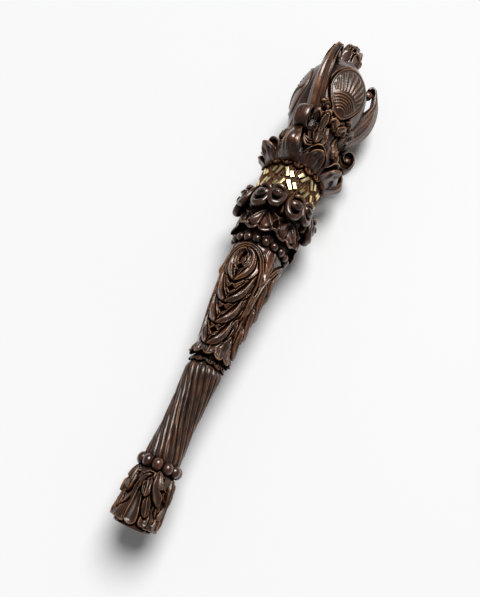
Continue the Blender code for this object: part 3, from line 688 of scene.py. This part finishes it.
def shaft():
    """A tapering shaft with three arched panels of paired leaves, and sprays between them."""
    profile = ((197, 20.4), (202, 20.8), (235, 23.8), (280, 28.2))
    profile += ((310, 30.4), (322, 30.8), (327, 29.6), (334, 29.0))
    skin = Relief(profile, 0.58, 350)
    skin.ripple(6.0, 0.14, 20)
    # Lines of a leaf or groove: degrees from the panel's middle, and height above the leaf's tip.
    third = ((49, 42), (46, 31), (42, 19), (35, 8.5))
    eye = ((37, 44), (31, 34), (20, 24), (9.5, 18.0))
    main = ((42, 47), (38.5, 35), (32.5, 23.5), (23.5, 12.8), (11, 5.0), (-1, -1))
    beside = ((38.5, 2), (42, 10), (47, 20), (51, 31))
    vein = ((38.0, 41.0), (33.5, 30.0), (26.0, 18.5), (15.0, 9.0))
    outer = ((36, 34), (35, 25), (31, 15), (23, 6))
    scroll = ((3, 41.5), (12, 38.5), (18.5, 30), (19.5, 20), (13, 9.5), (-1, -1))
    scroll_vein = ((14.5, 36.0), (18.5, 28.0), (18.0, 18.0), (11.0, 8.5))
    inner = ((13, 36), (14.5, 30), (13.5, 24), (9.0, 19.5))
    # The arch over a panel: degrees from the panel's middle, and height.
    arch = ((56.5, 218), (56.8, 245), (56.4, 270), (53.5, 287))
    arch += ((46, 300), (36, 309.5), (24, 316.2), (12, 319.6))
    top = 274.0
    for panel in range(3):
        centre = -2.0 + 120.0 * panel

        def laid(points, side, up=0.0):
            return [(centre + side * a, s + up) for a, s in points]

        for side in (-1, 1):
            for k in range(5):
                spray = [(46 + 3.4 * k, 329), (47 + 3 * k, 314), (53 + 1.8 * k, 300 - 3 * k)]
                spray.append((58 + 0.5 * k, 286 - 2 * k))
                skin.ridge(laid(spray, side), 1.7, 1.3)
        for tip in (197.8, 223.0, 248.5):
            for side in (-1, 1):
                skin.leaf(laid(third, side, tip), 4.0, 2.0, PLAIN, 0.9, flip=side, root=0.2, undercut=2.6)
                skin.leaf(laid(eye, side, tip), 4.2, 2.9, EYE, 1.0, LOBE, root=0.7, undercut=2.0)
                leaf = laid(main, side, tip)
                skin.leaf(leaf, 5.9, 3.4, FOLDED, 2.2, STEMMED, side, root=0.25, undercut=3.6)
                skin.ridge(laid(beside, side, tip), 1.5, -2.6)
                for shift in (-3.0, 0.2, 3.0):
                    skin.ridge(laid(vein, side, tip + shift), 1.0, -1.1, 0.4)
            skin.pit(centre, tip + 17.0, 6.6, 7.4, -1.3)
            skin.pit(centre, tip + 17.0, 6.6, 6.2, 5.5, power=0.8)
        for side in (-1, 1):
            skin.leaf(laid(outer, side, top), 4.2, 2.2, PLAIN, 0.9, flip=side, undercut=2.8)
            skin.leaf(laid(scroll, side, top), 5.4, 3.2, FOLDED, 1.6, FULL, side, root=0.7, undercut=3.4)
            for shift in (-1.8, 1.6):
                line = [(8.0, 40.0)] + [(a + shift, s) for a, s in scroll_vein]
                skin.ridge(laid(line, side, top), 1.0, -1.1, 0.4)
            skin.leaf(laid(inner, side, top), 3.0, 2.4, PLAIN, 1.0, LOBE, root=0.8, undercut=1.6)
        skin.pit(centre, 292.5, 5.8, 5.8, -1.6)
        skin.pit(centre, 292.5, 6.2, 5.8, 5.5, power=0.8)
        skin.pit(centre - 2, 308.5, 2.6, 4.4, 4.0, power=1.6)
        over = laid(arch, -1) + [(centre, 320.8)] + laid(arch, 1)[::-1]
        skin.leaf(over, 2.7, 2.3, DOUBLE, 0.9, STRIP, root=1.0, undercut=1.4)
        for k in range(4):
            skin.pit(centre + 60 + (-1) ** k * 2.0, 214 + 20 * k, 1.5, 7.5, 3.0, power=1.3)
    skin.solid().build("shaft", shaft_wood, wear=0.00015)


# Where the pairs of volutes stand, in degrees.
PAIRS = (2.0, 57.0, 118.0, 180.0, 241.0, 300.0)


def capital():
    """The capital under the neck: a wavy skirt of leaves, and pairs of volutes above it."""
    profile = ((324, 29.5), (330, 30.8), (337, 32.0), (345, 32.5), (358, 33))
    profile += ((366, 34), (374, 37), (385, 38.6), (392, 37.6), (396.5, 36.0))
    skin = Relief(profile, 0.8, 240)
    skin.ripple(6.0, 0.2, 30)
    for mid, after in zip(PAIRS, PAIRS[1:] + (PAIRS[0] + 360.0,)):
        gap = 0.5 * (mid + after)
        for turn in (-8, -3, 3, 8):
            path = [(gap + share * turn, s) for share, s in ((0.3, 367), (0.5, 378), (0.9, 388), (1.5, 399))]
            skin.ridge(path, 2.2, 4.0 - 0.12 * abs(turn), taper=0.1)
    solid = skin.solid()
    solid.add(skirt(), ring=True)
    for mid in PAIRS:
        for side in (-1, 1):
            volute(solid, mid, side)
    solid.build("capital", polished, wear=0.0004)


def skirt():
    """A hanging ring of leaves, fanned under each pair of volutes and dented between the pairs."""
    angle = ring_angles(300)
    signed = np.array([min((apart(a, mid) for mid in PAIRS), key=abs) for a in angle])[:, None]
    off = np.abs(signed)
    lip_low = table(off, ((0, 343.6), (4, 339.9), (10, 338.3), (16, 339.6), (22, 342.6), (30, 344.8)))
    lip_out = table(off, ((0, 38.2), (4, 40.2), (10, 41.4), (16, 40.9), (22, 39.8), (30, 40.2)))
    top_s, top_r = 371.0, 35.5
    drop = np.linspace(0.0, 1.0, 46)
    s = top_s + (lip_low - top_s) * drop
    r = top_r + (lip_out - top_r) * np.sin(0.5 * math.pi * drop) ** 0.9
    across = np.radians(signed) * 38.0
    along = 373.0 - s
    way = np.abs(np.degrees(np.arctan2(across, along)))
    fan = smoothstep((np.hypot(across, along) - 5.0) / 7.0) * smoothstep((86.0 - way) / 8.0)
    r = r - 2.2 * fan * np.abs(np.sin(math.pi * way / 30.0)) ** 0.8
    r = r + 1.4 * fan * (hump(way, 30.0, 4.0) + hump(way, 60.0, 4.0))
    between = ((off - 29.5) / 8.0) ** 2 + ((s - 353.0) / 7.5) ** 2
    r = r - 2.0 * smoothstep((1.0 - between) * 1.4) + 1.4 * hump(between, 1.15, 0.25)
    r = r - 2.5 * hump(off, 0.0, 1.5) * smoothstep((drop - 0.1) / 0.3)
    r = r - 1.2 * hump(drop, 0.84, 0.06) + 2.0 * smoothstep((drop - 0.88) / 0.06)
    return shell(angle, r, s, 2.0, slice(0, 20), lift=0.4, rim=(1.0, -0.7), back=(31.5, 368.0), least=31.0)


def volute(solid, mid, side):
    """One volute of a pair: a U-shaped rim, a thick roll in it, a brow over it and a thin edge on it."""
    grown = 1.1 if side < 0 else 0.98
    turn = mid - 1.5 + side * 11.0
    height = 382.0 if side < 0 else 385.5

    def laid(points, up=0.0):
        return [(turn + side * a * grown, height + up + s * grown, r) for a, s, r in points]

    rim = ((-10.2, 10, 41.0), (-10.4, 1, 44.0), (-7.0, -9.0, 46.0), (0.2, -13.0, 46.6))
    rim += ((7.2, -10.2, 45.6), (11.2, -1.0, 43.0), (9.6, 7.5, 40.5), (4.0, 12.0, 38.5))
    brow = ((-9.5, 6.0, 41.5), (-5.5, 10.5, 43.5), (1.0, 12.0, 44.0), (7.5, 9.5, 42.5))
    edge = ((-5.6, 2.4, 50.5), (-3.6, -1.6, 50.9), (1.6, -2.8, 50.8), (5.6, 0.4, 50.5))
    roll = (5.3, 8.4 * grown, 6.3 * grown)
    spots = 50
    width = 3.9 * (0.75 + 0.25 * np.sin(math.pi * np.linspace(0.0, 1.0, spots)))
    solid.add(rod(laid(rim), spots, width, 4.6, around=22, square=0.85))
    solid.add(ball(turn, 45.9, height + 1.4, roll, rows=22, columns=28, tilt=-side * 0.25))
    solid.add(rod(laid(brow), 24, 3.2, 5.0, around=18, square=0.8, blunt=0.2))
    solid.add(rod(laid(edge, 3.0), 18, 0.9, 1.6, around=12, square=1.0, blunt=0.4))


def neck():
    """A chiselled band for the brass strokes, with two rows of small scales above it."""
    profile = ((388, 37.0), (392, 37.2), (431, 37.2), (440, 36.0), (450, 37.0))
    skin = Relief(profile, 0.65, 340)
    draw = np.random.default_rng(40)
    skin.ripple(2.0, 0.42, 41, stretch=3.5, low=393, high=433)
    for _ in range(420):
        angle = draw.uniform(0, 360)
        s = draw.uniform(393, 434)
        lean = 0.12 * draw.normal(3.0, 4.0)
        long = draw.uniform(1.2, 2.8)
        mark = ((angle - lean, s - long), (angle + lean, s + long))
        skin.ridge(mark, draw.uniform(0.8, 1.1), -1.5, 0.4)
    skin.h = np.clip(skin.h, -2.0, 0.25)
    scales = 17
    for row, (tip, top) in enumerate(((432.8, 446.0), (439.0, 450.0))):
        for k in range(scales):
            angle = 360.0 * (k + 0.5 * row) / scales + draw.uniform(-1.2, 1.2)
            low = tip + draw.uniform(-0.9, 0.9)
            path = ((angle, top), (angle, 0.5 * (low + top)), (angle + draw.uniform(-1, 1), low))
            skin.leaf(path, 6.6, 4.6 - 0.2 * row, RIBBED, 1.0, SLIM, root=0.3, undercut=2.2)
    skin.solid().build("neck", chiselled, wear=0.00014)


# The calyx along a sixth of its round: turn from a big petal's middle, and the lip's height and radius and
# the swell's radius there. A big petal stands at 0 and a small one at 41 degrees.
CALYX_RIM_HEIGHT = ((0, 483), (2, 482.2), (4, 480.0), (6, 475.5), (8.5, 467), (10.5, 458), (13, 450.5))
CALYX_RIM_HEIGHT += ((16, 447.5), (20, 451), (24, 458.5), (28, 463.5), (33, 467), (38, 468.5), (43, 467.5))
CALYX_RIM_HEIGHT += ((48, 464), (52, 459.5), (56, 453.5), (60, 449.5))
CALYX_RIM_RADIUS = ((0, 50), (5, 51.0), (8.5, 53.5), (12, 54), (16, 51), (22, 48.0), (27, 49.5))
CALYX_RIM_RADIUS += ((31, 53), (36, 57), (41, 58.6), (46, 57.5), (51, 54.5), (56, 50.5), (60, 48.5))
CALYX_SWELL = ((0, 60.6), (5, 60), (9, 57.5), (13, 53.5), (17, 49), (22, 46), (27, 46.6), (31, 49), (36, 52))
CALYX_SWELL += ((41, 53), (46, 52), (51, 49.5), (56, 46.5), (60, 45.5))


def calyx():
    """A wavy cup of nine petals: three with curled tips, and two small flaring ones between each two."""
    angle = ring_angles(420)
    d = np.abs(apart(angle, 0.0, 120.0))[:, None]
    rim_s = table(d, CALYX_RIM_HEIGHT)
    rim_r = table(d, CALYX_RIM_RADIUS)
    bulge = table(d, CALYX_SWELL)
    t = np.linspace(0.0, 1.0, 34)
    start_s, start_r = 439.0, 37.0
    tall = rim_s - start_s
    s = start_s + tall * t
    swell_share = np.clip((s - start_s) / 19.0, 0.0, 1.0)
    swell = start_r + (bulge - start_r) * np.sin(0.5 * math.pi * swell_share) ** 0.85
    curl = (bulge - 50.0) * np.clip((s - 459.0) / 25.0, 0.0, 1.0) ** 1.6
    lip = smoothstep((t - 0.72) / 0.28) * (rim_r - bulge)
    big = smoothstep((tall - 16.0) / 10.0)
    r = (swell - curl) * big + (swell + lip) * (1.0 - big)
    gore = np.abs(np.sin(math.pi * (d - 6.0) / 12.0)) ** 0.7 - 0.6
    r = r + 2.0 * gore * np.sin(math.pi * t) * smoothstep((20.0 - d) / 6.0)
    vein = np.cos(math.pi * (41.0 - d) / 4.5)
    r = r + 0.55 * vein * np.sin(math.pi * t) * smoothstep((d - 22.0) / 4.0)
    leaf = np.sqrt(np.clip(1.0 - ((d - 41.0) / 14.0) ** 2, 0.0, 1.0))
    below_lip = rim_s - s
    r = r + leaf * (6.4 * hump(below_lip, 12.0, 2.8) - 6.5 * hump(below_lip, 5.6, 3.8, 4))
    r = r + 0.5 * hump(t, 0.965, 0.03)
    cup = shell(angle, r, s, 2.4, slice(1, 28), lift=0.7, rim=(1.2, 1.1), back=(32.0, 444.0), least=33.0)
    solid = Solid()
    solid.add(cup, ring=True)
    for k in range(3):
        for side in (-1, 1):
            for n in range(3):
                fold = [(9 - n, 478 - 1.5 * n, 46), (14, 466 + 4.0 * n, 45.5), (21, 463 + 5.0 * n, 44)]
                fold.append((30, 475 + 4.5 * n, 34.5))
                line = [(120.0 * k + side * a, s, r - 1.2 * n) for a, s, r in fold]
                solid.add(rod(line, 26, 1.3, 3.0, around=14, square=0.8, blunt=0.25))
    solid.build("calyx", polished)


# Where the shields' middles stand, in degrees.
SHIELDS = (47.5, 180.0, 300.0)


def head_core():
    """The egg-shaped core: leaves at its foot, fewer beside the last shield, and three shields."""
    profile = ((446, 37.5), (470, 38), (484, 38), (490, 35), (498, 33.5), (505, 34.2), (515, 37.0))
    profile += ((525, 40.5), (540, 44.6), (560, 47.0), (580, 46.2), (595, 42.3), (605, 37.5), (613, 32.0))
    profile += ((620, 26.8), (627, 20), (632, 15))
    skin = Relief(profile, 0.8, 330)
    skin.ripple(9.0, 0.16, 50, stretch=3.0)
    for k in range(6):
        mid = 30.0 + 60.0 * k

        def laid(points, side=1):
            return [(mid + side * a, s) for a, s in points]

        for side in (-1, 1):
            slim = laid(((12, 508), (14, 494), (12, 474)), side)
            skin.leaf(slim, 4.4, 4.4, PLAIN, 1.5, SLIM, undercut=3.4)
        wide = laid(((0, 502), (-1, 489), (0, 471)))
        skin.leaf(wide, 6.4, 6.0, FOLDED, 1.5, POINTED, root=0.5, undercut=3.6)
        if k >= 4:
            continue
        for side in (-1, 1):
            spray = laid(((2, 500), (6, 510), (16, 518), (24, 512)), side)
            skin.leaf(spray, 5.4, 6.0, FOLDED, 1.6, LOBE, side, root=0.4, undercut=3.6)
            upper = laid(((1, 508), (3, 520), (11, 531), (20, 530)), side)
            skin.leaf(upper, 5.2, 5.2, FOLDED, 1.5, FULL, side, root=0.4, undercut=3.4)
        for side in (-1, 1):
            skin.pit(mid + side * 13.5, 509.5, 3.4, 2.6, 5.5)
            skin.pit(mid + side * 9.5, 523.5, 2.8, 2.6, 5.0)
        small = laid(((0, 498), (0, 508), (0, 521)))
        skin.leaf(small, 4.6, 5.8, PLAIN, 1.5, POINTED, root=0.6, undercut=3.4)
    for k in range(3):
        mid = 120.0 * k + 26.0
        for n in range(3):
            s = 529.0 + 5.2 * n
            arc = ((mid - 9 + n, s - 3), (mid - 5 + n, s + 1.5), (mid + n, s + 2), (mid + 5, s - 1.5))
            skin.ridge(arc, 1.5, 1.7)
            skin.ridge([(a, h - 2.4) for a, h in arc], 1.1, -1.8)
    # The core is a little slimmer to one side of the first shield.
    slimmer = hump(apart(skin.angle, 78.0), 0.0, 30.0) * hump(skin.s[:, None], 543.0, 17.0)
    skin.h -= 3.2 * slimmer
    for number, mid in enumerate(SHIELDS):
        shield(skin, mid, number == 2, slimmer)
    skin.solid().build("head", head_wood, wear=0.00016)


def shield(skin, mid, bowed, slimmer):
    """A low raised plate, pointed below, with a thin rim. Its device is a fan of bars or a bow with dots."""
    half_wide, half_tall, centre = 28.0, 39.0, 562.0
    spot, x, y = skin.local(mid, centre, half_wide + 6, half_tall + 6)
    lower = np.clip(-y / half_tall, 0.0, 1.2)
    wide = half_wide * (1.0 - 0.3 * lower**1.5)
    power = 2.0 + 0.2 * lower
    q = (np.abs(x / wide) ** power + np.abs(y / half_tall) ** power) ** (1.0 / power)
    edge = (1.0 - q) * half_wide
    cover = smoothstep(edge / 1.5 + 0.5)
    trough = (0.8 if bowed else 3.0) * hump(edge, -1.3, 1.2)
    face = (0.7 if bowed else 1.5) - 0.4 * smoothstep(edge / 8.0) - 3.2 * slimmer[spot]
    skin.h[spot] = (1 - cover) * (skin.h[spot] - trough) + cover * face
    skin.h[spot] += cover * (0.6 * hump(edge, 1.4, 1.0) - 0.5 * hump(edge, 3.4, 1.0))
    field = smoothstep((edge - 4.4) / 1.5)
    if bowed:
        bow = y + 6.0 + 0.02 * x * x - 0.5 * x
        skin.h[spot] += field * 1.6 * (hump(bow, 0.0, 1.5, 4) - hump(bow, -2.9, 1.2))
        for n in range(6):
            dot = (x + 12 - 5.0 * n) ** 2 + (y + 1.0 - 2.4 * n) ** 2
            skin.h[spot] += field * 1.2 * np.exp(-dot / 1.6)
        return
    foot = y + 34.0
    way = np.degrees(np.arctan2(x, foot))
    far = np.hypot(x, foot)
    fan = smoothstep((far - 31.0) / 1.5) * smoothstep((63.0 - far) / 2.0) * smoothstep(39.0 - np.abs(way))
    skin.h[spot] += field * fan * (1.5 * hump(apart(way, 0.0, 7.0), 0.0, 1.5) - 0.6)
    for n in range(6):
        skin.h[spot] += field * 1.3 * hump(far, 26.5 - 3.7 * n, 1.0)


def bracket_skin():
    """Loops along a bracket, as distances: from the mace's axis, sideways, up it, and out from the spine."""
    # Along the spine: radius, height, thickness and half width.
    spine = ((41.0, 617.0, 3.8, 5.0), (43.5, 622.3, 4.6, 5.2), (48.0, 623.9, 5.4, 5.4))
    spine += ((52.0, 620.0, 6.2, 5.6), (55.0, 611.0, 8.2, 5.8), (58.6, 597.0, 12.4, 6.4))
    spine += ((57.4, 580.0, 20.8, 7.4), (52.8, 562.5, 28.2, 8.4), (46.2, 546.0, 30.8, 9.5))
    spine += ((43.0, 531.0, 21.5, 9.8), (40.5, 516.0, 11.5, 10.1), (37.5, 503.0, 8.0, 10.4))
    spine += ((38.5, 492.0, 5.4, 9.6), (45.0, 485.5, 5.4, 9.0), (53.5, 484.8, 6.0, 8.8))
    spine += ((58.7, 491.0, 6.4, 8.8), (60.0, 500.5, 6.4, 8.8), (56.9, 508.8, 6.0, 8.6))
    spine += ((51.0, 511.4, 5.0, 8.2), (46.2, 507.0, 4.2, 7.6), (46.0, 500.0, 4.0, 7.6))
    spine += ((50.0, 495.6, 3.8, 7.6), (54.0, 498.5, 3.6, 7.6), (52.4, 503.0, 3.4, 7.6))
    line = curve(spine, 260)
    half_deep = 0.5 * line[:, 2:3]
    half_wide = line[:, 3:4]
    run = unit(np.gradient(line[:, :2], axis=0))
    normal = np.stack([-run[:, 1], run[:, 0]], -1)
    share = np.linspace(0.0, 1.0, len(line))[:, None]
    square = 0.42 + 0.5 * smoothstep((share - 0.5) / 0.12)
    turn = np.linspace(0.0, 2.0 * math.pi, 48, endpoint=False)
    across = squarer(np.cos(turn), square)
    deep = squarer(np.sin(turn), square)
    sides = np.abs(across)
    close = rounded_ends(share, 0.012, 0.01)
    keel = np.clip(1.5 * half_deep, 3.5, 8.5) * (0.46 / square) * smoothstep((share - 0.02) / 0.14)
    keel = keel * np.clip(deep, 0.0, 1.0) * np.clip(sides - 0.04, 0.0, 1.0) ** 0.8
    grooves = 3.0
    feather = np.abs(np.sin(math.pi * grooves * sides)) * np.clip((half_deep - 2.0) / 3.0, 0.35, 1.0)
    lines = 1.0 - np.abs(np.cos(2.0 * math.pi * (deep + 1.0))) ** 0.7
    cut = 2.6 * np.clip((half_deep - 2.6) / 5.0, 0.0, 1.0) * lines * sides**6
    wide = (half_wide - cut) * across * close
    high = (half_deep * deep - keel - np.sign(deep) * 0.7 * feather * np.abs(deep) ** 4) * close
    return line[:, :1] + normal[:, :1] * high, wide, line[:, 1:2] + normal[:, 1:] * high, high


def brackets():
    """Three S-scrolls that stand off the head: a roll above, a swelling band, and a volute below.

    Near the floor the lowest one bulges a little further out than the others, and stays clear of it.
    """
    radius, wide, height, high = bracket_skin()
    bulge, bulge_middle, bulge_length = 2.9, 582.0, 20.0
    to_floor = np.where(high > 0.0, bulge * hump(height, bulge_middle, bulge_length), 0.0)
    # Rounds across a bracket: radius, height, thickness, reach, spots along and around, and blunt ends.
    rounds = (
        (43.8, 611.0, 5.6, 5.2, 20, 24, 0.3),
        (52.4, 499.2, 4.6, 7.0, 20, 24, 0.3),
        (50.2, 498.6, 10.8, 3.2, 12, 32, 0.1),
    )
    web = np.linspace((28.0, 607.0), (47.0, 610.0), 12)
    for index in range(3):
        out = polar(120.0 * index, 1.0, 0.0)
        side = polar(120.0 * index + 90.0, 1.0, 0.0)
        lying = to_floor if index == 2 else 0.0
        solid = Solid()
        solid.add((radius + lying)[..., None] * out + wide[..., None] * side + height[..., None] * UP)
        for r, s, thick, reach, spots, around, blunt in rounds:
            path = r * out + s * UP + np.linspace(-reach, reach, spots)[:, None] * side
            solid.add(bar(path, thick, thick, out, around=around, square=1.0, blunt=blunt))
        solid.add(bar(web[:, :1] * out + web[:, 1:] * UP, 3.0, 4.0, UP, around=16))
        solid.build(f"bracket_{index + 1}", bracket_wood)


def finial():
    """A leafy bud: six low leaves, six taller ones between them, curled tips on five of each, and a knob."""
    profile = ((624, 13.0), (628, 14.2), (640, 14.0), (650, 13.0), (660, 11.2), (667, 8.0), (671.7, 3.0))
    skin = Relief(profile, 0.5, 190)
    skin.ripple(6.0, 0.2, 60)
    for k in range(6):
        angle = 33.0 + 60.0 * k
        leaf = ((angle, 630), (angle, 647), (angle + 4, 666))
        skin.leaf(leaf, 7.8, 3.4, FOLDED, root=0.6, undercut=2.6)
        skin.ridge(((angle - 8, 650), (angle - 4, 658), (angle + 2, 663)), 1.4, -1.6)
    for k in range(6):
        angle = 3.0 + 60.0 * k
        leaf = ((angle, 627), (angle, 638), (angle - 4, 651))
        skin.leaf(leaf, 7.4, 4.0, PLAIN, 1.4, root=0.4, undercut=3.4)
        skin.pit(angle + 26, 653, 2.6, 3.6, 3.5)
    solid = skin.solid()
    for k in range(1, 6):
        angle = 33.0 + 60.0 * k
        solid.add(ball(angle + 5.0, 11.8, 662.0, (3.4, 5.4, 3.6), tilt=0.5))
        solid.add(ball(angle - 35.0, 15.6, 649.0, (3.2, 5.6, 3.0), tilt=-0.5))
    solid.add(ball(330.0, 3.2, 666.6, (6.0, 6.0, 5.2), rows=18, columns=28))
    solid.build("finial", shaft_wood)


def strokes():
    """The brass strokes stay as the CAD has them, with a fine bevel and worn brass."""
    for name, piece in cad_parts.items():
        if name == WOOD_NODE:
            continue
        bevel = piece.modifiers.new("Soft_edges", "BEVEL")
        bevel.width = 0.00022
        bevel.segments = 2
        piece.data.materials.clear()
        piece.data.materials.append(brass)


pommel()
bead_ring("lower_beads", 11, first=17.5, radius=19.2, height=63.9, size=(6.5, 6.0, 6.7), seed=2)
grip()
collar()
shaft()
bead_ring("upper_beads", 18, first=7.0, radius=31.7, height=330.6, size=(5.3, 5.35, 5.2), seed=3)
capital()
neck()
calyx()
head_core()
brackets()
finial()
strokes()


# ---- floor, light and camera


def stage():
    reach = 6.0
    mesh = bpy.data.meshes.new("floor")
    corners = ((-reach, -reach, 0.0), (reach, -reach, 0.0), (reach, reach, 0.0), (-reach, reach, 0.0))
    mesh.from_pydata(corners, [], [(0, 1, 2, 3)])
    mesh.materials.append(floor_material())
    floor = linked("floor", mesh)


def camera():
    """A camera that looks down on the mace from the butt end's side."""
    azimuth, elevation = math.radians(203.45), math.radians(68.75)
    lens, sensor = 34.975, 36.0
    # In metres: how far off it stands, and how far it is moved to its right and downwards from there.
    distance, rightwards, downwards = 0.667, 0.00207, 0.00092
    # The height up the mace that it aims at, in mm.
    aim = 267.3
    along = AXIS_START + aim * math.cos(LYING_PITCH)
    high = AXIS_HEIGHT + aim * math.sin(LYING_PITCH)
    target = Vector((along, AXIS_SIDE, high)) / 1000.0
    level = math.cos(elevation)
    back = Vector((level * math.cos(azimuth), level * math.sin(azimuth), math.sin(elevation)))
    right = Vector(UP).cross(back).normalized()
    up = back.cross(right)
    spot = target + back * distance + right * rightwards - up * downwards
    data = bpy.data.cameras.new("camera")
    data.sensor_fit = "VERTICAL"
    data.sensor_width = sensor
    data.sensor_height = sensor
    data.lens = lens
    item = linked("camera", data)
    item.matrix_world = Matrix.Translation(spot) @ Matrix((right, up, back)).transposed().to_4x4()
    scene.camera = item


def lights():
    """One broad sun from beyond the head, and a dim white surround."""
    sun = bpy.data.lights.new("key", "SUN")
    sun.energy = 3.35
    sun.angle = math.radians(32.0)
    key = linked("key", sun)
    key.rotation_mode = "QUATERNION"
    shining = Vector((-0.52, 0.05, -0.86))
    key.rotation_quaternion = shining.to_track_quat("-Z", "Y")
    world = bpy.data.worlds.new("surround")
    world.use_nodes = True
    background = world.node_tree.nodes["Background"]
    background.inputs["Color"].default_value = (1.0, 1.0, 1.0, 1.0)
    background.inputs["Strength"].default_value = 0.17
    scene.world = world


stage()
camera()
lights()
scene.view_settings.view_transform = "Standard"
scene.view_settings.look = "None"
